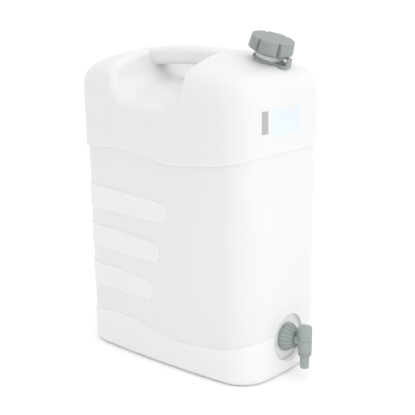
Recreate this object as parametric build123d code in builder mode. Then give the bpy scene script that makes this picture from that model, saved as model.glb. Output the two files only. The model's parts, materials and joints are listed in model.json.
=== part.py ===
from build123d import *
import math
import os

# Water carboy with a screw cap on a captive strap and a turning spigot.
# Millimetres, +Z up. The origin is the middle of the base, and the spigot faces -Y.

# Container: plan section
side_half_width = 100.7
end_half_length = 184.1
side_bulge = 8.6
end_bulge = 7.0
corner_radius = 55.0
wall = 3.0

# Container: crowned top
crown_height = 527.5
crown_rise = 30.0
shoulder_radius = 36.0
base_radius = 11.0

# Container: collar and skirt, two stepped bands with wavy edges
collar_step = 4.0
collar_level = 349.7
collar_rear_rise = 12.0
collar_edge_radius = 2.6
skirt_step = 1.6
skirt_level = 51.4
skirt_rear_rise = 18.0
band_edge_radius = 1.2
wave_front_rise = 24.0
wave_trough_y = -37.0
wave_crest_y = 92.0
wave_rear_length = 58.0
wave_front_slope = ((1.0, 1.0), (0.7, 0.49), (0.34, 0.16))
wave_rear_share = 0.62
wave_end_share = 0.3

# Container: three stiffening ribs that wrap round the rear
rib_count = 3
rib_height = 40.5
rib_pitch = 69.5
rib_lowest = 111.0
rib_start_y = 12.4
rib_start_shift = 18.2
rib_top_drop = 8.0
rib_corner_radius = 12.0

# Container: hand grip, a valley across the top with the handle standing over it
grip_start_y = -63.0
grip_end_y = 87.0
grip_floor = 470.0
grip_arch_radius = 205.0
grip_arch_angle = 50.0
grip_corner_radius = 42.0
grip_rim_radius = 14.0
handle_width = 36.0
handle_depth = 30.0
handle_drop = 1.0
handle_edge_radius = 10.0
handle_embed = 20.0

# Container: filling neck, square to the crown
neck_y = -147.0
neck_tilt = 17.0
neck_outer_radius = 20.5
neck_bore_radius = 17.5
neck_height = 27.0
neck_sink = 8.0

# Container: spigot port in its round recess
port_z = 63.0
recess_radius = 39.0
recess_floor_y = -185.0
recess_edge_radius = 3.0
port_radius = 17.0
port_bore_radius = 12.0
port_length = 12.0

# Cap: lobed shell, flat gasket under its ceiling
cap_skirt_start = 12.0
cap_lobe_start = 16.0
cap_top = 37.0
cap_bore_radius = 22.8
cap_skirt_radius = 25.0
cap_bead_radius = 26.0
cap_bead_height = 1.2
cap_core_radius = 27.0
cap_lobe_radius = 35.5
cap_lobe_count = 6
cap_lobe_turn = 52.0
cap_notch_radius = 5.5
cap_ceiling = 3.0
cap_recess_radius = 28.5
cap_edge_radius = 1.6
cap_gasket_height = 2.0
cap_gasket_clearance = 0.3

# Cap strap: neck ring, lug, upright and cap ring in one moulding
strap_lift = 1.4
strap_thickness = 2.8
strap_ring_clearance = 0.8
strap_ring_radius = 25.0
strap_lug_width = 26.0
strap_lug_hole_radius = 1.8
strap_lug_corner = 8.5
strap_upright_radius = 37.0
strap_upright_thickness = 2.6
strap_upright_width = 11.0
strap_cap_ring_clearance = 0.4
strap_cap_ring_radius = 28.0
strap_gap = 0.3

# Spigot: gasket, stem and union nut on the port
seal_height = 2.0
stem_flange_radius = 14.6
stem_flange_height = 3.0
stem_radius = 6.5
stem_bore_radius = 4.5
stem_end = 29.0
nut_start = 1.0
nut_rim_radius = 23.0
nut_rim_height = 5.0
nut_nose_radius = 14.5
nut_end = 21.0
nut_clearance = 0.3
nut_flutes = 18
nut_flute_radius = 1.3

# Spigot: upright barrel, plug, knob and outlet nozzle
barrel_offset = 38.0
barrel_radius = 11.5
barrel_bottom = 46.0
barrel_top = 72.0
barrel_bore_radius = 8.0
barrel_lip = 2.5
barrel_neck_radius = 6.0
boss_radius = 8.5
boss_start = 22.0
barrel_groove_z = 66.0
barrel_groove_width = 1.0
barrel_groove_depth = 0.6
running_clearance = 0.06
plug_bottom = 50.3
plug_passage_radius = 4.4
stem_square = 8.0
stem_square_top = 82.0
ring_section = 0.9
lower_ring_z = 53.2
upper_ring_z = 70.8
knob_gap = 0.4
knob_top = 91.0
knob_radius = 11.7
knob_dome = 3.2
knob_edge_radius = 2.0
nozzle_stub = 4.0
nozzle_collar_height = 5.5
nozzle_collar_radius = 10.9
nozzle_flutes = 16
nozzle_flute_radius = 1.1
nozzle_root_radius = 8.2
nozzle_tip_radius = 7.1
nozzle_bore_radius = 5.0
nozzle_tip = 18.0

crown_half_width = side_half_width + side_bulge + collar_step
crown_half_length = end_half_length + end_bulge + collar_step
cross_radius = (crown_half_width**2 + crown_rise**2) / (2 * crown_rise)
long_radius = (crown_half_length**2 + crown_rise**2) / (2 * crown_rise)
margin = 40.0
reach = crown_half_length + margin
lower_top = collar_level + wave_front_rise + margin
neck_z = crown_height - long_radius + math.sqrt(long_radius**2 - neck_y**2)
lean = math.radians(neck_tilt)
neck_plane = Plane(origin=(0, neck_y, neck_z), x_dir=(-1, 0, 0), z_dir=(0, -math.sin(lean), math.cos(lean)))
port_plane = Plane(origin=(0, recess_floor_y, port_z), x_dir=(1, 0, 0), z_dir=(0, -1, 0))
barrel_y = recess_floor_y - barrel_offset


def plan(grow):
    """Plan section: a crowned rectangle with round corners, moved outwards by grow."""
    half_x = side_half_width + grow
    half_y = end_half_length + grow
    with BuildSketch() as section:
        with BuildLine():
            ThreePointArc((half_x, -half_y), (half_x + side_bulge, 0), (half_x, half_y))
            ThreePointArc((half_x, half_y), (0, half_y + end_bulge), (-half_x, half_y))
            ThreePointArc((-half_x, half_y), (-half_x - side_bulge, 0), (-half_x, -half_y))
            ThreePointArc((-half_x, -half_y), (0, -half_y - end_bulge), (half_x, -half_y))
        make_face()
        fillet(section.vertices(), corner_radius + grow)
    return section.sketch


def under_crown(grow):
    """Everything under the crowned top, an arc across turned about a far axis below."""
    half = crown_half_width + margin
    radius = cross_radius + grow
    edge = crown_height - cross_radius + math.sqrt(radius**2 - half**2)
    with BuildPart() as crowned:
        with BuildSketch(Plane.XZ):
            with BuildLine():
                ThreePointArc((-half, edge), (0, crown_height + grow), (half, edge))
                Polyline((half, edge), (half, -margin), (-half, -margin), (-half, edge))
            make_face()
        revolve(axis=Axis((0, 0, crown_height - long_radius), (1, 0, 0)))
    return crowned.part


def under_wave(level, rear_rise, lift):
    """Everything under a wavy line seen from the side, through the whole width."""
    trough = level + lift
    run = wave_trough_y + end_half_length + end_bulge
    line = [(-reach, trough + wave_front_rise + wave_front_rise * margin / run)]
    line += [(wave_trough_y - run * along, trough + wave_front_rise * up) for along, up in wave_front_slope]
    line += [
        (wave_trough_y, trough),
        ((wave_trough_y + wave_crest_y) / 2, trough + wave_rear_share * rear_rise),
        (wave_crest_y, trough + rear_rise),
        (wave_crest_y + wave_rear_length, trough + wave_rear_share * rear_rise),
        (reach, trough + wave_end_share * rear_rise),
    ]
    with BuildPart() as lower:
        with BuildSketch(Plane.YZ):
            with BuildLine():
                Spline(line)
                Polyline(line[-1], (reach, -margin), (-reach, -margin), line[0])
            make_face()
        extrude(amount=crown_half_width + margin, both=True)
    return lower.part


def valley(grow):
    """The hand grip: a U-shaped valley whose floor arches across the container."""
    middle = (grip_start_y + grip_end_y) / 2
    length = grip_end_y - grip_start_y + 2 * grow
    with BuildPart() as scoop:
        with BuildSketch(Plane.YZ) as profile:
            with Locations((middle, grip_floor - grow)):
                Rectangle(length, crown_height - grip_floor + margin, align=(Align.CENTER, Align.MIN))
            fillet(profile.vertices().sort_by(Axis.Y)[:2], grip_corner_radius + grow)
        revolve(axis=Axis((0, 0, grip_floor - grip_arch_radius), (0, 1, 0)), revolution_arc=grip_arch_angle)
        mirror(about=Plane.YZ)
    return scoop.part


def handle(grow):
    """The handle: a crowned strip of the top left standing over the valley."""
    middle = (grip_start_y + grip_end_y) / 2
    length = grip_end_y - grip_start_y + 2 * handle_embed
    with BuildPart() as strip:
        add(under_crown(grow - handle_drop))
        with BuildSketch(Plane.XY.offset(grip_floor)):
            with Locations((0, middle)):
                Rectangle(handle_width + 2 * grow, length)
        extrude(amount=crown_height - grip_floor + margin, mode=Mode.INTERSECT)
        add(under_crown(-handle_drop - handle_depth - grow), mode=Mode.SUBTRACT)
        fillet(strip.edges().filter_by(lambda e: e.length > length / 2), handle_edge_radius + grow)
    return strip.part


def upper_body(grow):
    """Collar, shoulders, crowned top and hand grip."""
    low, high = grip_start_y + grow - 1, grip_end_y - grow + 1
    with BuildPart() as upper:
        add(plan(collar_step + grow))
        extrude(amount=crown_height + margin)
        add(under_crown(grow), mode=Mode.INTERSECT)
        fillet(upper.faces().sort_by(Axis.Z)[-1].edges(), shoulder_radius + grow)
        add(valley(-grow), mode=Mode.SUBTRACT)
        rim = upper.edges().filter_by(GeomType.BSPLINE).filter_by_position(Axis.Y, low, high)
        fillet(rim, grip_rim_radius + grow)
        add(handle(grow))
        add(under_wave(collar_level, collar_rear_rise, -grow), mode=Mode.SUBTRACT)
        if grow == 0:
            fillet(upper.faces().sort_by(Axis.Z)[0].edges(), collar_edge_radius)
    return upper.part


def rib(index):
    """One stiffening rib: a slab whose front end is round and whose top falls forwards."""
    bottom = rib_lowest + index * rib_pitch
    front = rib_start_y - index * rib_start_shift
    top = bottom + rib_height
    with BuildPart() as band:
        add(plan(skirt_step))
        extrude(amount=crown_height)
        with BuildSketch(Plane.YZ) as profile:
            with BuildLine():
                Polyline(
                    (front, bottom),
                    (reach, bottom),
                    (reach, top),
                    (wave_crest_y, top),
                    (front, top - rib_top_drop),
                    (front, bottom),
                )
            make_face()
            fillet(profile.vertices().sort_by(Axis.X)[:2], rib_corner_radius)
        extrude(amount=crown_half_width + margin, both=True, mode=Mode.INTERSECT)
        rim = band.edges().filter_by(Axis.X, reverse=True)
        upright = band.edges().filter_by(Axis.Z)
        rim = rim.filter_by(lambda e: e.center().Y < wave_crest_y or e not in upright)
        fillet(rim, band_edge_radius)
    return band.part


def skirt():
    """Foot of the container up to the wavy line."""
    with BuildPart() as band:
        add(plan(skirt_step))
        extrude(amount=skirt_level + wave_front_rise + margin)
        add(under_wave(skirt_level, skirt_rear_rise, 0), mode=Mode.INTERSECT)
        fillet(band.faces().sort_by(Axis.Z)[-1].edges(), band_edge_radius)
        fillet(band.faces().sort_by(Axis.Z)[0].edges(), base_radius + skirt_step)
        with BuildSketch(port_plane.offset(-wall)):
            Circle(recess_radius + recess_edge_radius)
        extrude(amount=margin, mode=Mode.SUBTRACT)
    return band.part


def outer_form():
    with BuildPart() as form:
        with BuildSketch(Plane.XY.offset(base_radius + skirt_step)):
            add(plan(0))
        extrude(amount=lower_top - base_radius - skirt_step)
        with BuildSketch(port_plane):
            Circle(recess_radius)
        extrude(amount=margin, mode=Mode.SUBTRACT)
    return form.part


def inner_form():
    with BuildPart() as form:
        with BuildSketch(Plane.XY.offset(wall)):
            add(plan(-wall))
        extrude(amount=lower_top - wall)
        fillet(form.faces().sort_by(Axis.Z)[0].edges(), base_radius - wall)
        with BuildSketch(port_plane.offset(-wall)):
            Circle(recess_radius + wall)
        extrude(amount=margin, mode=Mode.SUBTRACT)
        add(upper_body(-wall))
    return form.part


os.makedirs("parts", exist_ok=True)

with BuildPart() as container:
    add(outer_form())
    add(skirt())
    for index in range(rib_count):
        add(rib(index))
    add(upper_body(0))
    with BuildSketch(port_plane):
        Circle(port_radius)
    extrude(amount=port_length)
    with BuildSketch(neck_plane.offset(-neck_sink)):
        Circle(neck_outer_radius)
    extrude(amount=neck_sink + neck_height)
    add(inner_form(), mode=Mode.SUBTRACT)
    with BuildSketch(port_plane.offset(-2 * wall)):
        Circle(port_bore_radius)
    extrude(amount=2 * wall + port_length, mode=Mode.SUBTRACT)
    with BuildSketch(neck_plane.offset(-2 * neck_sink)):
        Circle(neck_bore_radius)
    extrude(amount=2 * neck_sink + neck_height, mode=Mode.SUBTRACT)
container.part.label = "container"
export_step(container.part, "parts/container.step")


def flutes(plane, count, flute_radius, foot, tip, turn=0.0):
    """Round grooves side by side round a cone: foot and tip are radius and height pairs."""
    with BuildPart() as cutter:
        for index in range(count):
            angle = math.radians(turn) + 2 * math.pi * index / count
            outward = plane.x_dir * math.cos(angle) + plane.y_dir * math.sin(angle)
            start = plane.origin + outward * foot[0] + plane.z_dir * foot[1]
            end = plane.origin + outward * tip[0] + plane.z_dir * tip[1]
            with BuildSketch(Plane(origin=start, z_dir=end - start)):
                Circle(flute_radius)
            extrude(amount=(end - start).length)
    return cutter.part


# Screw cap
cap_bore_end = neck_height + cap_gasket_height
cap_floor = cap_bore_end + cap_ceiling
with BuildPart() as screw_cap:
    with BuildSketch(neck_plane.offset(cap_lobe_start)):
        Circle(cap_lobe_radius)
    extrude(amount=cap_top - cap_lobe_start)
    fillet(screw_cap.edges(), cap_edge_radius)
    notch_centre = cap_core_radius + cap_notch_radius
    foot = (notch_centre, cap_lobe_start - 1)
    tip = (notch_centre, cap_top + 1)
    add(flutes(neck_plane, cap_lobe_count, cap_notch_radius, foot, tip, cap_lobe_turn), mode=Mode.SUBTRACT)
    with BuildSketch(neck_plane.offset(cap_lobe_start)):
        Circle(cap_core_radius)
    extrude(amount=cap_floor - cap_lobe_start)
    with BuildSketch(neck_plane.offset(cap_floor)):
        Circle(cap_recess_radius)
    extrude(amount=cap_top - cap_floor, mode=Mode.SUBTRACT)
    with BuildSketch(neck_plane.offset(cap_skirt_start)):
        Circle(cap_skirt_radius)
    extrude(amount=cap_lobe_start - cap_skirt_start)
    with BuildSketch(neck_plane.offset(cap_skirt_start)):
        Circle(cap_bead_radius)
    extrude(amount=cap_bead_height)
    with BuildSketch(neck_plane.offset(cap_skirt_start)):
        Circle(cap_bore_radius)
    extrude(amount=cap_bore_end - cap_skirt_start, mode=Mode.SUBTRACT)
screw_cap.part.label = "screw_cap"
export_step(screw_cap.part, "parts/screw_cap.step")

# Gasket between the cap's ceiling and the neck's lip
with BuildPart() as cap_gasket:
    with BuildSketch(neck_plane.offset(neck_height)):
        Circle(cap_bore_radius - cap_gasket_clearance)
    extrude(amount=cap_gasket_height)
cap_gasket.part.label = "cap_gasket"
export_step(cap_gasket.part, "parts/cap_gasket.step")

# Strap: ring round the neck, lug, upright and ring round the cap's skirt
strap_cap_ring_start = cap_skirt_start + cap_bead_height + strap_gap
strap_cap_ring_end = cap_lobe_start - strap_gap
strap_upright_end = strap_upright_radius + strap_upright_thickness
with BuildPart() as cap_strap:
    with BuildSketch(neck_plane.offset(strap_lift)) as lug:
        with Locations((0, strap_upright_end / 2)):
            Rectangle(strap_lug_width, strap_upright_end)
        fillet(lug.vertices().sort_by(Axis.Y)[2:], strap_lug_corner)
        Circle(strap_ring_radius)
        Circle(neck_outer_radius + strap_ring_clearance, mode=Mode.SUBTRACT)
        with Locations((0, (strap_ring_radius + strap_upright_radius) / 2)):
            SlotOverall(strap_lug_width / 2, 2 * strap_lug_hole_radius, mode=Mode.SUBTRACT)
    extrude(amount=strap_thickness)
    with BuildSketch(neck_plane.offset(strap_lift)):
        with Locations((0, (strap_upright_radius + strap_upright_end) / 2)):
            Rectangle(strap_upright_width, strap_upright_thickness)
    extrude(amount=strap_cap_ring_end - strap_lift)
    with BuildSketch(neck_plane.offset(strap_cap_ring_start)):
        Circle(strap_cap_ring_radius)
        with Locations((0, strap_upright_end / 2)):
            Rectangle(strap_upright_width, strap_upright_end)
        Circle(cap_skirt_radius + strap_cap_ring_clearance, mode=Mode.SUBTRACT)
    extrude(amount=strap_cap_ring_end - strap_cap_ring_start)
cap_strap.part.label = "cap_strap"
export_step(cap_strap.part, "parts/cap_strap.step")


def revolved(plane, points):
    """A turned piece: its half section is a list of radius and height pairs."""
    section_plane = Plane(origin=plane.origin, x_dir=plane.x_dir, z_dir=-plane.y_dir)
    with BuildPart() as turned:
        with BuildSketch(section_plane):
            with BuildLine():
                Polyline(points, close=True)
            make_face()
        revolve(axis=Axis(plane.origin, plane.z_dir))
    return turned.part


# Gasket on the port's rim
seal_end = port_length + seal_height
flange_end = seal_end + stem_flange_height
with BuildPart() as spigot_gasket:
    with BuildSketch(port_plane.offset(port_length)):
        Circle(stem_flange_radius)
        Circle(port_bore_radius, mode=Mode.SUBTRACT)
    extrude(amount=seal_height)
spigot_gasket.part.label = "spigot_gasket"
export_step(spigot_gasket.part, "parts/spigot_gasket.step")

# Flanged stem that the union nut holds
with BuildPart() as spigot_stem:
    with BuildSketch(port_plane.offset(seal_end)):
        Circle(stem_flange_radius)
    extrude(amount=stem_flange_height)
    with BuildSketch(port_plane.offset(flange_end)):
        Circle(stem_radius)
    extrude(amount=stem_end - flange_end)
    with BuildSketch(port_plane.offset(seal_end)):
        Circle(stem_bore_radius)
    extrude(amount=stem_end - seal_end, mode=Mode.SUBTRACT)
spigot_stem.part.label = "spigot_stem"
export_step(spigot_stem.part, "parts/spigot_stem.step")

# Fluted union nut
nut_bore_radius = port_radius + nut_clearance
nut_rim_end = nut_start + nut_rim_height
with BuildPart() as union_nut:
    add(
        revolved(
            port_plane,
            [
                (nut_bore_radius, nut_start),
                (nut_rim_radius, nut_start),
                (nut_rim_radius, nut_rim_end),
                (nut_nose_radius, nut_end),
                (stem_radius + nut_clearance, nut_end),
                (stem_radius + nut_clearance, flange_end),
                (stem_flange_radius + nut_clearance, flange_end),
                (stem_flange_radius + nut_clearance, port_length),
                (nut_bore_radius, port_length),
            ],
        )
    )
    foot = (nut_rim_radius, nut_rim_end)
    tip = (nut_nose_radius, nut_end)
    add(flutes(port_plane, nut_flutes, nut_flute_radius, foot, tip), mode=Mode.SUBTRACT)
union_nut.part.label = "union_nut"
export_step(union_nut.part, "parts/union_nut.step")

# Spigot barrel with its side boss
barrel_plane = Plane(origin=(0, barrel_y, 0), x_dir=(1, 0, 0), z_dir=(0, 0, 1))
with BuildPart() as spigot_body:
    with BuildSketch(barrel_plane.offset(barrel_bottom)):
        Circle(barrel_radius)
    extrude(amount=barrel_top - barrel_bottom)
    with BuildSketch(port_plane.offset(boss_start)):
        Circle(boss_radius)
    extrude(amount=barrel_offset - boss_start)
    with BuildSketch(barrel_plane.offset(barrel_bottom)):
        Circle(barrel_bore_radius)
    extrude(amount=barrel_top - barrel_bottom - barrel_lip, mode=Mode.SUBTRACT)
    with BuildSketch(barrel_plane.offset(barrel_bottom)):
        Circle(barrel_neck_radius)
    extrude(amount=barrel_top - barrel_bottom, mode=Mode.SUBTRACT)
    with BuildSketch(port_plane.offset(boss_start)):
        Circle(stem_radius)
    extrude(amount=stem_end - boss_start, mode=Mode.SUBTRACT)
    with BuildSketch(port_plane.offset(boss_start)):
        Circle(stem_bore_radius)
    extrude(amount=barrel_offset - boss_start, mode=Mode.SUBTRACT)
    with BuildSketch(barrel_plane.offset(barrel_groove_z)):
        Circle(barrel_radius + 1)
        Circle(barrel_radius - barrel_groove_depth, mode=Mode.SUBTRACT)
    extrude(amount=barrel_groove_width, mode=Mode.SUBTRACT)
spigot_body.part.label = "spigot_body"
export_step(spigot_body.part, "parts/spigot_body.step")

# Plug that turns in the barrel, with an L-shaped passage
plug_top = barrel_top - barrel_lip - running_clearance
plug_radius = barrel_bore_radius - running_clearance
plug_neck_radius = barrel_neck_radius - running_clearance
ring_seat = 2 * ring_section - running_clearance
with BuildPart() as spigot_plug:
    add(
        revolved(
            barrel_plane,
            [
                (0, plug_bottom),
                (plug_radius, plug_bottom),
                (plug_radius, lower_ring_z - ring_section),
                (plug_radius - ring_seat, lower_ring_z - ring_section),
                (plug_radius - ring_seat, lower_ring_z + ring_section),
                (plug_radius, lower_ring_z + ring_section),
                (plug_radius, plug_top),
                (plug_neck_radius, plug_top),
                (plug_neck_radius, upper_ring_z - ring_section),
                (plug_neck_radius - ring_seat, upper_ring_z - ring_section),
                (plug_neck_radius - ring_seat, upper_ring_z + ring_section),
                (plug_neck_radius, upper_ring_z + ring_section),
                (plug_neck_radius, barrel_top + knob_gap),
                (0, barrel_top + knob_gap),
            ],
        )
    )
    with BuildSketch(barrel_plane.offset(barrel_top)):
        Rectangle(stem_square, stem_square)
    extrude(amount=stem_square_top - barrel_top)
    with BuildSketch(barrel_plane.offset(plug_bottom)):
        Circle(plug_passage_radius)
    extrude(amount=port_z - plug_bottom, mode=Mode.SUBTRACT)
    with BuildSketch(Plane.YZ.offset(0)):
        with Locations((barrel_y, port_z)):
            Circle(plug_passage_radius)
    extrude(amount=barrel_radius, mode=Mode.SUBTRACT)
spigot_plug.part.label = "spigot_plug"
export_step(spigot_plug.part, "parts/spigot_plug.step")

for name, radius, height in (
    ("plug_ring_lower", plug_radius, lower_ring_z),
    ("plug_ring_upper", plug_neck_radius, upper_ring_z),
):
    with BuildPart() as ring:
        with BuildSketch(Plane(origin=(0, barrel_y, height), x_dir=(1, 0, 0), z_dir=(0, -1, 0))):
            with Locations((radius - ring_section, 0)):
                Circle(ring_section - running_clearance)
        revolve(axis=Axis((0, barrel_y, height), (0, 0, 1)))
    ring.part.label = name
    export_step(ring.part, f"parts/{name}.step")

# Knob on the plug's square
with BuildPart() as spigot_knob:
    with BuildSketch(Plane(origin=(0, barrel_y, 0), x_dir=(1, 0, 0), z_dir=(0, -1, 0))) as half:
        with BuildLine():
            base = barrel_top + knob_gap
            shoulder = knob_top - knob_dome
            Line((0, base), (knob_radius, base))
            Line((knob_radius, base), (knob_radius, shoulder))
            RadiusArc(
                (knob_radius, shoulder),
                (0, knob_top),
                -(knob_radius**2 + knob_dome**2) / (2 * knob_dome),
            )
            Line((0, knob_top), (0, base))
        make_face()
        rim = half.vertices().group_by(Axis.X)[-1]
        fillet(rim.sort_by(Axis.Y)[-1], knob_edge_radius)
    revolve(axis=Axis((0, barrel_y, 0), (0, 0, 1)))
    with BuildSketch(barrel_plane.offset(base)):
        Rectangle(stem_square + running_clearance, stem_square + running_clearance)
    extrude(amount=stem_square_top + running_clearance - base, mode=Mode.SUBTRACT)
spigot_knob.part.label = "spigot_knob"
export_step(spigot_knob.part, "parts/spigot_knob.step")

# Outlet nozzle pressed into the barrel from below
collar_bottom = barrel_bottom - nozzle_collar_height
with BuildPart() as outlet_nozzle:
    add(
        revolved(
            barrel_plane,
            [
                (nozzle_bore_radius, nozzle_tip),
                (nozzle_tip_radius, nozzle_tip),
                (nozzle_root_radius, collar_bottom),
                (nozzle_collar_radius, collar_bottom),
                (nozzle_collar_radius, barrel_bottom),
                (plug_radius, barrel_bottom),
                (plug_radius, barrel_bottom + nozzle_stub),
                (nozzle_bore_radius, barrel_bottom + nozzle_stub),
            ],
        )
    )
    foot = (nozzle_collar_radius, collar_bottom)
    tip = (nozzle_collar_radius, barrel_bottom)
    add(flutes(barrel_plane, nozzle_flutes, nozzle_flute_radius, foot, tip), mode=Mode.SUBTRACT)
outlet_nozzle.part.label = "outlet_nozzle"
export_step(outlet_nozzle.part, "parts/outlet_nozzle.step")
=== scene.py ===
import json
import math

import bpy
from bpy.props import FloatProperty, FloatVectorProperty, IntProperty, PointerProperty
from mathutils import Matrix, Vector


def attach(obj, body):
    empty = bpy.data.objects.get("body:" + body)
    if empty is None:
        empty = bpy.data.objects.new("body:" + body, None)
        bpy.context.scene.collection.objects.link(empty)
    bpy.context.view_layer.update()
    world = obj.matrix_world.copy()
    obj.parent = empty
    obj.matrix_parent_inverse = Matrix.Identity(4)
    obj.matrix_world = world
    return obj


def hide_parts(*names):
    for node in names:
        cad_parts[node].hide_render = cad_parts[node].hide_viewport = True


bl_info = {
    "name": "Water carboy with spigot",
    "version": (1, 0, 0),
    "blender": (4, 5, 0),
    "location": "View3D > Sidebar > Carboy",
    "description": "Dresses a water carboy: shell, print fields, neck thread, cap, strap and spigot",
    "category": "Object",
}

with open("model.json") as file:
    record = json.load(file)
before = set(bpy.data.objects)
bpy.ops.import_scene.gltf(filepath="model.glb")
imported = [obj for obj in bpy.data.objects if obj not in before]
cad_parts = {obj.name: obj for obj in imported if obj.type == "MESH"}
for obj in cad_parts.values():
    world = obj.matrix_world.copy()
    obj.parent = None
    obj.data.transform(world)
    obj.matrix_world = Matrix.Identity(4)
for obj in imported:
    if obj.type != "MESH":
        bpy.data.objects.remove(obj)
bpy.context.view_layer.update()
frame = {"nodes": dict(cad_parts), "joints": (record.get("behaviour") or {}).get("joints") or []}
NODES = frame["nodes"]

# The cap's joint gives the neck's axis and its foot.
JOINTS = {joint["name"]: joint for joint in frame["joints"]}
NECK_AXIS = Vector(JOINTS["cap_turn"]["axis"]).normalized()
NECK_FOOT = Vector(JOINTS["cap_turn"]["pos_m"])

# Grain, bump and blotches of a small moulding.
FINE_GRAIN = 900.0
FINE_RELIEF = 0.00004
FINE_BLOTCH = (12.0, 0.5)

# A moulding's shade as a share of its own colour.
GREY_SHADE = 0.85
SPIGOT_SHADE = 0.88
FLOOR_SHADE = 0.99

# Colour, shade and roughness of the seals and of the plug.
RUBBER = ((0.03, 0.03, 0.03), (0.02, 0.02, 0.02), 0.7)
PLUG_WHITE = ((0.75, 0.75, 0.73), (0.7, 0.7, 0.68), 0.35)

# How finely the cap's round forms are cut, and how its edges are softened.
LOBE_SIDES = 144
ROUND_SIDES = 96
EDGE_SEGMENTS = 3
EDGE_ANGLE = math.radians(35.0)

# Faces that meet at less than this angle are shaded as one surface.
THREAD_SMOOTH = math.radians(40.0)
CAP_SMOOTH = math.radians(30.0)


# Sizes and colours


class CarboyShellSettings(bpy.types.PropertyGroup):
    """The moulded container."""

    colour: FloatVectorProperty(
        name="Shell colour",
        description="Milky polyethylene where light falls on it",
        subtype="COLOR",
        default=(0.80, 0.81, 0.805),
        min=0.0,
        max=1.0,
    )
    shade_colour: FloatVectorProperty(
        name="Shade colour",
        description="Warmer tone of the thicker stretches of wall",
        subtype="COLOR",
        default=(0.77, 0.77, 0.76),
        min=0.0,
        max=1.0,
    )
    roughness: FloatProperty(
        name="Shell roughness",
        description="Satin of the moulded wall",
        default=0.42,
        min=0.0,
        max=1.0,
    )
    surface_relief: FloatProperty(
        name="Surface relief",
        description="Height of the faint ripple that blow moulding leaves",
        default=0.00005,
        unit="LENGTH",
    )
    grain_scale: FloatProperty(
        name="Grain scale",
        description="Fineness of the shell's grain",
        default=420.0,
        min=0.0,
    )
    blotch_scale: FloatProperty(
        name="Blotch scale",
        description="Fineness of the soft blotches in the wall's colour",
        default=5.0,
        min=0.0,
    )
    blotch_amount: FloatProperty(
        name="Blotch amount",
        description="How far the blotches go towards the shade colour",
        default=0.35,
        min=0.0,
        max=1.0,
    )
    glow: FloatProperty(
        name="Light in the wall",
        description="Share of the light that spreads inside the milky wall",
        default=0.35,
        min=0.0,
        max=1.0,
    )
    glow_radius: FloatVectorProperty(
        name="Light spread",
        description="How far red, green and blue light spread in the wall",
        default=(0.02, 0.02, 0.018),
        unit="LENGTH",
    )
    thread_radius: FloatProperty(
        name="Thread radius",
        description="Neck radius that the thread is wound on",
        default=0.0206,
        unit="LENGTH",
    )
    thread_bead: FloatProperty(
        name="Thread bead",
        description="Half thickness of the thread",
        default=0.0009,
        unit="LENGTH",
    )
    thread_pitch: FloatProperty(
        name="Thread pitch",
        description="Rise in one turn, as the cap's coupled joints say",
        default=0.004,
        unit="LENGTH",
    )
    thread_start: FloatProperty(
        name="Thread start",
        description="Height of the thread's first turn over the neck's foot",
        default=0.0145,
        unit="LENGTH",
    )
    thread_turns: FloatProperty(
        name="Thread turns",
        description="How many turns the thread makes",
        default=2.5,
        min=0.5,
    )
    thread_steps: IntProperty(
        name="Thread steps",
        description="Steps along the whole thread",
        default=120,
        min=12,
    )
    thread_sides: IntProperty(
        name="Thread sides",
        description="Sides of the thread's round section",
        default=10,
        min=3,
    )


class CarboyPrintSettings(bpy.types.PropertyGroup):
    """The plain print fields on the front face."""

    field_colour: FloatVectorProperty(
        name="Field colour",
        description="Pale blue of the printed field",
        subtype="COLOR",
        default=(0.70, 0.80, 0.90),
        min=0.0,
        max=1.0,
    )
    bar_colour: FloatVectorProperty(
        name="Bar colour",
        description="Grey of the printed bars",
        subtype="COLOR",
        default=(0.36, 0.37, 0.38),
        min=0.0,
        max=1.0,
    )
    front_limit: FloatProperty(
        name="Front limit",
        description="The print lies on the wall in front of this Y",
        default=-0.17,
        unit="LENGTH",
    )
    pale_low: FloatVectorProperty(
        name="Pale field from",
        description="Lower corner of the pale field, across and up",
        size=2,
        default=(-0.050, 0.402),
        unit="LENGTH",
    )
    pale_high: FloatVectorProperty(
        name="Pale field to",
        description="Upper corner of the pale field, across and up",
        size=2,
        default=(0.022, 0.444),
        unit="LENGTH",
    )
    bar_low: FloatVectorProperty(
        name="Bars from",
        description="Lower corner of the barred field, across and up",
        size=2,
        default=(-0.071, 0.408),
        unit="LENGTH",
    )
    bar_high: FloatVectorProperty(
        name="Bars to",
        description="Upper corner of the barred field, across and up",
        size=2,
        default=(-0.059, 0.443),
        unit="LENGTH",
    )
    line_pitch: FloatProperty(
        name="Line pitch",
        description="From one pale line to the next",
        default=0.0034,
        unit="LENGTH",
    )
    bar_pitch: FloatProperty(
        name="Bar pitch",
        description="From one grey bar to the next",
        default=0.0016,
        unit="LENGTH",
    )
    line_share: FloatProperty(
        name="Line share",
        description="Width of a pale line as a share of its pitch",
        default=0.45,
        min=0.0,
        max=1.0,
    )
    line_gap: FloatProperty(
        name="Ink between lines",
        description="Strength of the print between two pale lines",
        default=0.35,
        min=0.0,
        max=1.0,
    )
    bar_share: FloatProperty(
        name="Bar share",
        description="Width of a grey bar as a share of its pitch",
        default=0.55,
        min=0.0,
        max=1.0,
    )
    bar_gap: FloatProperty(
        name="Ink between bars",
        description="Strength of the print between two grey bars",
        default=0.7,
        min=0.0,
        max=1.0,
    )


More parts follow.
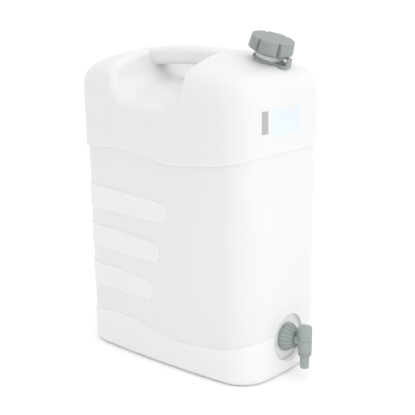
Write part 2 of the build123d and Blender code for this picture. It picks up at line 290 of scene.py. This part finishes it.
class CarboyGreySettings(bpy.types.PropertyGroup):
    """Cap, strap and spigot."""

    cap_colour: FloatVectorProperty(
        name="Cap colour",
        description="Mid-grey of the lobed cap",
        subtype="COLOR",
        default=(0.258, 0.288, 0.282),
        min=0.0,
        max=1.0,
    )
    strap_colour: FloatVectorProperty(
        name="Strap colour",
        description="Grey of the captive strap",
        subtype="COLOR",
        default=(0.28, 0.30, 0.295),
        min=0.0,
        max=1.0,
    )
    spigot_colour: FloatVectorProperty(
        name="Spigot colour",
        description="Lighter grey of the spigot",
        subtype="COLOR",
        default=(0.305, 0.34, 0.338),
        min=0.0,
        max=1.0,
    )
    roughness: FloatProperty(
        name="Grey roughness",
        description="Satin of the grey mouldings",
        default=0.45,
        min=0.0,
        max=1.0,
    )


class CarboyCapSettings(bpy.types.PropertyGroup):
    """The lobed cap."""

    lobe_start: FloatProperty(
        name="Lobe start",
        description="Height of the lobes' lower edge over the neck's foot",
        default=0.0172,
        unit="LENGTH",
    )
    top: FloatProperty(
        name="Cap top",
        description="Height of the cap's top over the neck's foot",
        default=0.0362,
        unit="LENGTH",
    )
    lobe_radius: FloatProperty(
        name="Lobe radius",
        description="Radius over the lobes at their foot",
        default=0.0353,
        unit="LENGTH",
    )
    top_radius: FloatProperty(
        name="Top radius",
        description="Radius over the lobes at the top",
        default=0.0334,
        unit="LENGTH",
    )
    notch_foot: FloatProperty(
        name="Notch foot",
        description="Radius that the notches reach in to",
        default=0.0285,
        unit="LENGTH",
    )
    notch_depth: FloatProperty(
        name="Notch depth",
        description="Size of the three-sided notch",
        default=0.0062,
        unit="LENGTH",
    )
    skirt_start: FloatProperty(
        name="Skirt start",
        description="Height of the skirt's lower edge",
        default=0.012,
        unit="LENGTH",
    )
    skirt_radius: FloatProperty(
        name="Skirt radius",
        description="Radius of the round skirt",
        default=0.025,
        unit="LENGTH",
    )
    bead: FloatProperty(
        name="Bead",
        description="Height of the bead round the skirt's foot",
        default=0.0012,
        unit="LENGTH",
    )
    bead_radius: FloatProperty(
        name="Bead radius",
        description="Radius of the bead",
        default=0.026,
        unit="LENGTH",
    )
    bore_radius: FloatProperty(
        name="Bore radius",
        description="Radius of the bore over the neck",
        default=0.0228,
        unit="LENGTH",
    )
    bore_end: FloatProperty(
        name="Bore end",
        description="Height of the bore's ceiling",
        default=0.029,
        unit="LENGTH",
    )
    edge: FloatProperty(
        name="Edge softness",
        description="Width of the rounded edges",
        default=0.0009,
        unit="LENGTH",
    )
    turn: FloatProperty(
        name="Notch turn",
        description="Angle of the first notch about the neck",
        subtype="ANGLE",
        default=math.radians(-123.0),
    )
    lobe_count: IntProperty(
        name="Lobes",
        description="How many lobes the cap has",
        default=6,
        min=3,
    )


class CarboyStageSettings(bpy.types.PropertyGroup):
    """Camera, floor and lights."""

    camera_azimuth: FloatProperty(
        name="Camera azimuth",
        description="Angle round the object, where 0 looks along +Y",
        subtype="ANGLE",
        default=math.radians(-49.93),
    )
    camera_elevation: FloatProperty(
        name="Camera elevation",
        description="Angle above the horizon",
        subtype="ANGLE",
        default=math.radians(15.0),
    )
    camera_roll: FloatProperty(
        name="Camera roll",
        description="Turn about the line of sight",
        subtype="ANGLE",
        default=math.radians(-0.66),
    )
    camera_distance: FloatProperty(
        name="Camera distance",
        description="From the aim point to the camera",
        default=1.5748,
        unit="LENGTH",
    )
    camera_aim: FloatVectorProperty(
        name="Camera aim",
        description="Point that the camera looks at",
        subtype="XYZ",
        default=(0.02116, -0.03042, 0.24599),
    )
    camera_lens: FloatProperty(
        name="Camera lens",
        description="Focal length in millimetres",
        default=79.67,
    )
    camera_sensor: FloatProperty(
        name="Camera sensor",
        description="Width of the sensor in millimetres",
        default=36.0,
    )
    camera_shift: FloatVectorProperty(
        name="Camera shift",
        description="Shift of the picture across and up, as shares of its width",
        size=2,
        default=(-0.0318, 0.0082),
    )
    sky_strength: FloatProperty(
        name="Room light",
        description="Even white light from all round",
        default=1.06,
        min=0.0,
    )
    front_place: FloatVectorProperty(
        name="Front softbox place",
        description="Where the front softbox stands",
        subtype="XYZ",
        default=(-0.55, -1.75, 0.85),
    )
    front_size: FloatProperty(
        name="Front softbox size",
        description="Side of the front softbox",
        default=1.1,
        unit="LENGTH",
    )
    front_power: FloatProperty(
        name="Front softbox power",
        description="Strength of the front softbox",
        default=6.5,
        min=0.0,
    )
    overhead_place: FloatVectorProperty(
        name="Overhead softbox place",
        description="Where the overhead softbox hangs",
        subtype="XYZ",
        default=(0.25, -0.35, 2.0),
    )
    overhead_size: FloatProperty(
        name="Overhead softbox size",
        description="Side of the overhead softbox",
        default=1.8,
        unit="LENGTH",
    )
    overhead_power: FloatProperty(
        name="Overhead softbox power",
        description="Strength of the overhead softbox",
        default=5.0,
        min=0.0,
    )
    light_aim: FloatVectorProperty(
        name="Light aim",
        description="Point that both softboxes face",
        subtype="XYZ",
        default=(0.0, 0.0, 0.28),
    )
    floor_colour: FloatVectorProperty(
        name="Floor colour",
        description="Plain pale floor",
        subtype="COLOR",
        default=(0.97, 0.97, 0.97),
        min=0.0,
        max=1.0,
    )
    floor_roughness: FloatProperty(
        name="Floor roughness",
        description="Matt finish of the floor",
        default=0.8,
        min=0.0,
        max=1.0,
    )
    floor_size: FloatProperty(
        name="Floor size",
        description="Side of the square floor",
        default=12.0,
        unit="LENGTH",
    )


# Shader building


def new_group(name, inputs, outputs):
    """A shader node group with named sockets: inputs are (name, kind, default), outputs (name, kind)."""
    group = bpy.data.node_groups.new(name, "ShaderNodeTree")
    for label, kind, default in inputs:
        socket = group.interface.new_socket(label, in_out="INPUT", socket_type=kind)
        socket.default_value = default
    for label, kind in outputs:
        group.interface.new_socket(label, in_out="OUTPUT", socket_type=kind)
    group.nodes.new("NodeGroupInput")
    group.nodes.new("NodeGroupOutput")
    return group


def part(tree, kind, **settings):
    """A new node in a tree, with its own settings; a dict called values sets its sockets."""
    node = tree.nodes.new(kind)
    values = settings.pop("values", {})
    for key, value in settings.items():
        setattr(node, key, value)
    for key, value in values.items():
        node.inputs[key].default_value = value
    return node


def grain_group():
    """Skin of a moulding: soft blotches, a fine grain, and a height for its bump."""
    group = new_group(
        "moulded_grain",
        [
            ("Colour", "NodeSocketColor", (0.5, 0.5, 0.5, 1.0)),
            ("Shade Colour", "NodeSocketColor", (0.4, 0.4, 0.4, 1.0)),
            ("Blotch Scale", "NodeSocketFloat", FINE_BLOTCH[0]),
            ("Blotch Amount", "NodeSocketFloat", FINE_BLOTCH[1]),
            ("Grain Scale", "NodeSocketFloat", FINE_GRAIN),
            ("Roughness", "NodeSocketFloat", 0.45),
            ("Roughness Spread", "NodeSocketFloat", 0.08),
        ],
        [
            ("Colour", "NodeSocketColor"),
            ("Roughness", "NodeSocketFloat"),
            ("Height", "NodeSocketFloat"),
        ],
    )
    given = group.nodes["Group Input"].outputs
    result = group.nodes["Group Output"].inputs
    link = group.links.new
    place = part(group, "ShaderNodeTexCoord").outputs["Object"]
    blotch = part(group, "ShaderNodeTexNoise", values={"Detail": 3.0, "Roughness": 0.5})
    link(place, blotch.inputs["Vector"])
    link(given["Blotch Scale"], blotch.inputs["Scale"])
    spread = part(group, "ShaderNodeMapRange", values={"From Min": 0.35, "From Max": 0.7})
    link(blotch.outputs["Fac"], spread.inputs["Value"])
    amount = part(group, "ShaderNodeMath", operation="MULTIPLY")
    link(spread.outputs["Result"], amount.inputs[0])
    link(given["Blotch Amount"], amount.inputs[1])
    mixed = part(group, "ShaderNodeMix", data_type="RGBA")
    link(amount.outputs[0], mixed.inputs["Factor"])
    link(given["Colour"], mixed.inputs["A"])
    link(given["Shade Colour"], mixed.inputs["B"])
    link(mixed.outputs["Result"], result["Colour"])
    grain = part(group, "ShaderNodeTexNoise", values={"Detail": 2.0, "Roughness": 0.6})
    link(place, grain.inputs["Vector"])
    link(given["Grain Scale"], grain.inputs["Scale"])
    centred = part(group, "ShaderNodeMath", operation="SUBTRACT", values={1: 0.5})
    link(grain.outputs["Fac"], centred.inputs[0])
    gloss = part(group, "ShaderNodeMath", operation="MULTIPLY_ADD")
    link(centred.outputs[0], gloss.inputs[0])
    link(given["Roughness Spread"], gloss.inputs[1])
    link(given["Roughness"], gloss.inputs[2])
    link(gloss.outputs[0], result["Roughness"])
    link(grain.outputs["Fac"], result["Height"])
    return group


GRAIN = grain_group()


def moulding(
    name, colour, shade, roughness, grain_scale=FINE_GRAIN, bump=FINE_RELIEF, blotch=FINE_BLOTCH
):
    """A moulded plastic: Principled colour and roughness from the shared grain, plus its bump."""
    material = bpy.data.materials.new(name)
    material.use_nodes = True
    tree = material.node_tree
    shader = tree.nodes["Principled BSDF"]
    skin = part(tree, "ShaderNodeGroup", node_tree=GRAIN)
    skin.inputs["Colour"].default_value = (*colour, 1.0)
    skin.inputs["Shade Colour"].default_value = (*shade, 1.0)
    skin.inputs["Blotch Scale"].default_value = blotch[0]
    skin.inputs["Blotch Amount"].default_value = blotch[1]
    skin.inputs["Grain Scale"].default_value = grain_scale
    skin.inputs["Roughness"].default_value = roughness
    relief = part(tree, "ShaderNodeBump", values={"Distance": bump, "Strength": 1.0})
    tree.links.new(skin.outputs["Colour"], shader.inputs["Base Color"])
    tree.links.new(skin.outputs["Roughness"], shader.inputs["Roughness"])
    tree.links.new(skin.outputs["Height"], relief.inputs["Height"])
    tree.links.new(relief.outputs["Normal"], shader.inputs["Normal"])
    return material


def field(tree, front, low, high):
    """A mask that is 1 in front of a Y and between two corners, each an X and a Z."""
    place = part(tree, "ShaderNodeTexCoord").outputs["Object"]
    split = part(tree, "ShaderNodeSeparateXYZ")
    tree.links.new(place, split.inputs[0])
    mask = part(tree, "ShaderNodeMath", operation="LESS_THAN", values={1: front})
    tree.links.new(split.outputs[1], mask.inputs[0])
    mask = mask.outputs[0]
    for axis, least, most in ((0, low[0], high[0]), (2, low[1], high[1])):
        for limit, operation in ((least, "GREATER_THAN"), (most, "LESS_THAN")):
            side = part(tree, "ShaderNodeMath", operation=operation, values={1: limit})
            tree.links.new(split.outputs[axis], side.inputs[0])
            both = part(tree, "ShaderNodeMath", operation="MULTIPLY")
            tree.links.new(mask, both.inputs[0])
            tree.links.new(side.outputs[0], both.inputs[1])
            mask = both.outputs[0]
    return mask


def stripes(tree, mask, axis, pitch, share, faint):
    """Breaks a mask into even lines across one axis; between the lines it is faint."""
    place = part(tree, "ShaderNodeTexCoord").outputs["Object"]
    split = part(tree, "ShaderNodeSeparateXYZ")
    tree.links.new(place, split.inputs[0])
    turns = part(tree, "ShaderNodeMath", operation="DIVIDE", values={1: pitch})
    tree.links.new(split.outputs[axis], turns.inputs[0])
    along = part(tree, "ShaderNodeMath", operation="FRACT")
    tree.links.new(turns.outputs[0], along.inputs[0])
    line = part(tree, "ShaderNodeMath", operation="LESS_THAN", values={1: share})
    tree.links.new(along.outputs[0], line.inputs[0])
    level = part(tree, "ShaderNodeMapRange", values={"To Min": faint, "To Max": 1.0})
    tree.links.new(line.outputs[0], level.inputs["Value"])
    both = part(tree, "ShaderNodeMath", operation="MULTIPLY")
    tree.links.new(mask, both.inputs[0])
    tree.links.new(level.outputs["Result"], both.inputs[1])
    return both.outputs[0]


def printed(tree, under, mask, colour):
    """Lays one print colour over another through a mask."""
    ink = part(tree, "ShaderNodeMix", data_type="RGBA")
    tree.links.new(mask, ink.inputs["Factor"])
    tree.links.new(under, ink.inputs["A"])
    ink.inputs["B"].default_value = (*colour, 1.0)
    return ink.outputs["Result"]


def darker(colour, share):
    """A colour with each of its values multiplied by one share."""
    return tuple(value * share for value in colour)


# Mesh building


def deselect():
    """Takes every object out of the selection."""
    bpy.ops.object.select_all(action="DESELECT")


def cone(name, sides, foot_radius, top_radius, low, top):
    """A closed upright cone or cylinder about Z, from one height to another."""
    deselect()
    bpy.ops.mesh.primitive_cone_add(
        vertices=sides,
        radius1=foot_radius,
        radius2=top_radius,
        depth=top - low,
        location=(0.0, 0.0, (low + top) / 2.0),
    )
    made = bpy.context.object
    made.name = name
    bpy.ops.object.transform_apply(location=True, rotation=True, scale=True)
    return made


def carve(target, tool, operation):
    """Joins a tool to the target or cuts it away, and then removes the tool."""
    deselect()
    change = target.modifiers.new("carve", "BOOLEAN")
    change.object = tool
    change.operation = operation
    change.solver = "EXACT"
    target.select_set(True)
    bpy.context.view_layer.objects.active = target
    bpy.ops.object.modifier_apply(modifier="carve")
    bpy.data.objects.remove(tool)


def stand_on_neck(obj):
    """Moves an object from the world's origin to the neck's foot, upright along the neck."""
    upright = Vector((0.0, 0.0, 1.0)).rotation_difference(NECK_AXIS)
    obj.matrix_world = Matrix.Translation(NECK_FOOT) @ upright.to_matrix().to_4x4()
    deselect()
    obj.select_set(True)
    bpy.context.view_layer.objects.active = obj
    bpy.ops.object.transform_apply(location=True, rotation=True, scale=True)


def dress(obj, material):
    """Puts one material on an object, in place of what it has."""
    obj.data.materials.clear()
    obj.data.materials.append(material)


# Operators


class CARBOY_OT_shell(bpy.types.Operator):
    """Finish the container: milky satin wall"""

    bl_idname = "carboy.shell"
    bl_label = "Container shell"

    def execute(self, context):
        look = context.scene.carboy_shell
        milky = moulding(
            "milky_polyethylene",
            look.colour,
            look.shade_colour,
            look.roughness,
            grain_scale=look.grain_scale,
            bump=look.surface_relief,
            blotch=(look.blotch_scale, look.blotch_amount),
        )
        shader = milky.node_tree.nodes["Principled BSDF"]
        shader.inputs["Subsurface Weight"].default_value = look.glow
        shader.inputs["Subsurface Radius"].default_value = look.glow_radius
        shader.inputs["Subsurface Scale"].default_value = 1.0
        dress(NODES["container"], milky)
        return {"FINISHED"}


class CARBOY_OT_print(bpy.types.Operator):
    """Print the plain fields on the front face"""

    bl_idname = "carboy.print"
    bl_label = "Print fields"

    def execute(self, context):
        look = context.scene.carboy_print
        milky = NODES["container"].active_material
        if milky is None:
            raise RuntimeError("the shell is dressed before it is printed")
        tree = milky.node_tree
        shader = tree.nodes["Principled BSDF"]
        skin = shader.inputs["Base Color"].links[0].from_socket
        pale = field(tree, look.front_limit, look.pale_low, look.pale_high)
        pale = stripes(tree, pale, 2, look.line_pitch, look.line_share, look.line_gap)
        bars = field(tree, look.front_limit, look.bar_low, look.bar_high)
        bars = stripes(tree, bars, 0, look.bar_pitch, look.bar_share, look.bar_gap)
        skin = printed(tree, skin, pale, look.field_colour)
        skin = printed(tree, skin, bars, look.bar_colour)
        tree.links.new(skin, shader.inputs["Base Color"])
        return {"FINISHED"}


class CARBOY_OT_thread(bpy.types.Operator):
    """Wind the screw thread round the neck, under the cap"""

    bl_idname = "carboy.thread"
    bl_label = "Neck thread"

    def execute(self, context):
        look = context.scene.carboy_shell
        deselect()
        bpy.ops.mesh.primitive_circle_add(
            vertices=look.thread_sides,
            radius=look.thread_bead,
            location=(look.thread_radius, 0.0, look.thread_start),
            rotation=(math.radians(90.0), 0.0, 0.0),
        )
        thread = context.object
        thread.name = "neck_thread"
        bpy.ops.object.transform_apply(location=True, rotation=True, scale=True)
        wind = thread.modifiers.new("wind", "SCREW")
        wind.axis = "Z"
        wind.angle = look.thread_turns * math.radians(360.0)
        wind.screw_offset = look.thread_turns * look.thread_pitch
        wind.steps = look.thread_steps
        wind.render_steps = look.thread_steps
        bpy.ops.object.modifier_apply(modifier="wind")
        bpy.ops.object.mode_set(mode="EDIT")
        bpy.ops.mesh.select_mode(type="EDGE")
        bpy.ops.mesh.select_all(action="DESELECT")
        bpy.ops.mesh.select_non_manifold()
        bpy.ops.mesh.fill_holes(sides=0)
        bpy.ops.mesh.select_all(action="SELECT")
        bpy.ops.mesh.normals_make_consistent(inside=False)
        bpy.ops.object.mode_set(mode="OBJECT")
        stand_on_neck(thread)
        bpy.ops.object.shade_smooth_by_angle(angle=THREAD_SMOOTH)
        dress(thread, NODES["container"].active_material)
        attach(thread, "container")
        return {"FINISHED"}


class CARBOY_OT_cap(bpy.types.Operator):
    """Model the cap with its tapered lobes and narrow notches, in place of the plain CAD cap"""

    bl_idname = "carboy.cap"
    bl_label = "Lobed cap"

    def execute(self, context):
        look = context.scene.carboy_cap
        low, top = look.lobe_start, look.top
        cap = cone("lobed_cap", LOBE_SIDES, look.lobe_radius, look.top_radius, low, top)
        reach = look.notch_foot + look.notch_depth
        for index in range(look.lobe_count):
            angle = look.turn + 2.0 * math.pi * index / look.lobe_count
            deselect()
            bpy.ops.mesh.primitive_cylinder_add(
                vertices=3,
                radius=look.notch_depth,
                depth=2.0 * (top - low),
                location=(reach * math.cos(angle), reach * math.sin(angle), (low + top) / 2.0),
                rotation=(0.0, 0.0, angle + math.radians(90.0)),
            )
            notch = context.object
            bpy.ops.object.transform_apply(location=True, rotation=True, scale=True)
            carve(cap, notch, "DIFFERENCE")
        foot = look.skirt_start
        for name, radius, start, end, operation in (
            ("skirt", look.skirt_radius, foot, low + look.bead, "UNION"),
            ("bead", look.bead_radius, foot, foot + look.bead, "UNION"),
            ("bore", look.bore_radius, foot - look.bead, look.bore_end, "DIFFERENCE"),
        ):
            carve(cap, cone(name, ROUND_SIDES, radius, radius, start, end), operation)
        soften = cap.modifiers.new("soften", "BEVEL")
        soften.width = look.edge
        soften.segments = EDGE_SEGMENTS
        soften.limit_method = "ANGLE"
        soften.angle_limit = EDGE_ANGLE
        context.view_layer.objects.active = cap
        bpy.ops.object.modifier_apply(modifier="soften")
        stand_on_neck(cap)
        bpy.ops.object.shade_smooth_by_angle(angle=CAP_SMOOTH)
        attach(cap, "cap")
        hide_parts("screw_cap")
        return {"FINISHED"}


class CARBOY_OT_greys(bpy.types.Operator):
    """Finish the cap, the strap and the spigot"""

    bl_idname = "carboy.greys"
    bl_label = "Cap, strap and spigot"

    def execute(self, context):
        look = context.scene.carboy_greys
        made = []
        for name, colour, share in (
            ("cap_grey", look.cap_colour, GREY_SHADE),
            ("strap_grey", look.strap_colour, GREY_SHADE),
            ("spigot_grey", look.spigot_colour, SPIGOT_SHADE),
        ):
            made.append(moulding(name, colour, darker(colour, share), look.roughness))
        cap, strap, tap = made
        dress(NODES["screw_cap"], cap)
        dress(bpy.data.objects["lobed_cap"], cap)
        dress(NODES["cap_strap"], strap)
        for name in ("union_nut", "spigot_stem", "spigot_body", "spigot_knob", "outlet_nozzle"):
            dress(NODES[name], tap)
        rubber = moulding("sealing_rubber", *RUBBER)
        for name in ("cap_gasket", "spigot_gasket", "plug_ring_upper", "plug_ring_lower"):
            dress(NODES[name], rubber)
        dress(NODES["spigot_plug"], moulding("plug_white", *PLUG_WHITE))
        return {"FINISHED"}


class CARBOY_OT_stage(bpy.types.Operator):
    """Pale floor, soft lights and the camera at the photograph's angle"""

    bl_idname = "carboy.stage"
    bl_label = "Stage"

    def execute(self, context):
        look = context.scene.carboy_stage
        deselect()
        bpy.ops.mesh.primitive_plane_add(size=look.floor_size, location=(0.0, 0.0, 0.0))
        floor = context.object
        floor.name = "floor"
        shade = darker(look.floor_colour, FLOOR_SHADE)
        dress(floor, moulding("floor_pale", look.floor_colour, shade, look.floor_roughness, bump=0.0))

        world = bpy.data.worlds.new("studio")
        world.use_nodes = True
        sky = world.node_tree.nodes["Background"]
        sky.inputs["Color"].default_value = (1.0, 1.0, 1.0, 1.0)
        sky.inputs["Strength"].default_value = look.sky_strength
        context.scene.world = world
        context.scene.view_settings.view_transform = "Standard"
        for name, place, size, power in (
            ("front_softbox", look.front_place, look.front_size, look.front_power),
            ("overhead_softbox", look.overhead_place, look.overhead_size, look.overhead_power),
        ):
            lamp = bpy.data.lights.new(name, "AREA")
            lamp.shape = "SQUARE"
            lamp.size = size
            lamp.energy = power
            holder = bpy.data.objects.new(name, lamp)
            holder.location = place
            towards = Vector(look.light_aim) - Vector(place)
            holder.rotation_euler = towards.to_track_quat("-Z", "Y").to_euler()
            context.scene.collection.objects.link(holder)

        elevation, azimuth = look.camera_elevation, look.camera_azimuth
        right = Vector((math.cos(azimuth), math.sin(azimuth), 0.0))
        back = Vector(
            (
                math.sin(azimuth) * math.cos(elevation),
                -math.cos(azimuth) * math.cos(elevation),
                math.sin(elevation),
            )
        )
        up = back.cross(right)
        turned = Matrix.Rotation(look.camera_roll, 3, back)
        axes = Matrix((turned @ right, turned @ up, back)).transposed()
        data = bpy.data.cameras.new("camera")
        data.sensor_width = look.camera_sensor
        data.lens = look.camera_lens
        data.shift_x = look.camera_shift[0]
        data.shift_y = look.camera_shift[1]
        camera = bpy.data.objects.new("camera", data)
        context.scene.collection.objects.link(camera)
        place = Vector(look.camera_aim) + back * look.camera_distance
        camera.matrix_world = Matrix.Translation(place) @ axes.to_4x4()
        context.scene.camera = camera
        return {"FINISHED"}


class CARBOY_PT_sidebar(bpy.types.Panel):
    """The steps that dress the carboy"""

    bl_idname = "CARBOY_PT_sidebar"
    bl_label = "Carboy"
    bl_space_type = "VIEW_3D"
    bl_region_type = "UI"
    bl_category = "Carboy"

    def draw(self, context):
        for operator in OPERATORS:
            self.layout.operator(operator.bl_idname)


SETTINGS = {
    "carboy_shell": CarboyShellSettings,
    "carboy_print": CarboyPrintSettings,
    "carboy_cap": CarboyCapSettings,
    "carboy_greys": CarboyGreySettings,
    "carboy_stage": CarboyStageSettings,
}
OPERATORS = (
    CARBOY_OT_shell,
    CARBOY_OT_print,
    CARBOY_OT_thread,
    CARBOY_OT_cap,
    CARBOY_OT_greys,
    CARBOY_OT_stage,
)


def register():
    for name, group in SETTINGS.items():
        bpy.utils.register_class(group)
        setattr(bpy.types.Scene, name, PointerProperty(type=group))
    for operator in OPERATORS:
        bpy.utils.register_class(operator)
    bpy.utils.register_class(CARBOY_PT_sidebar)


def unregister():
    bpy.utils.unregister_class(CARBOY_PT_sidebar)
    for operator in reversed(OPERATORS):
        bpy.utils.unregister_class(operator)
    for name, group in SETTINGS.items():
        delattr(bpy.types.Scene, name)
        bpy.utils.unregister_class(group)


def main():
    register()
    bpy.ops.carboy.shell()
    bpy.ops.carboy.print()
    bpy.ops.carboy.thread()
    bpy.ops.carboy.cap()
    bpy.ops.carboy.greys()
    bpy.ops.carboy.stage()


if __name__ == "__main__":
    main()
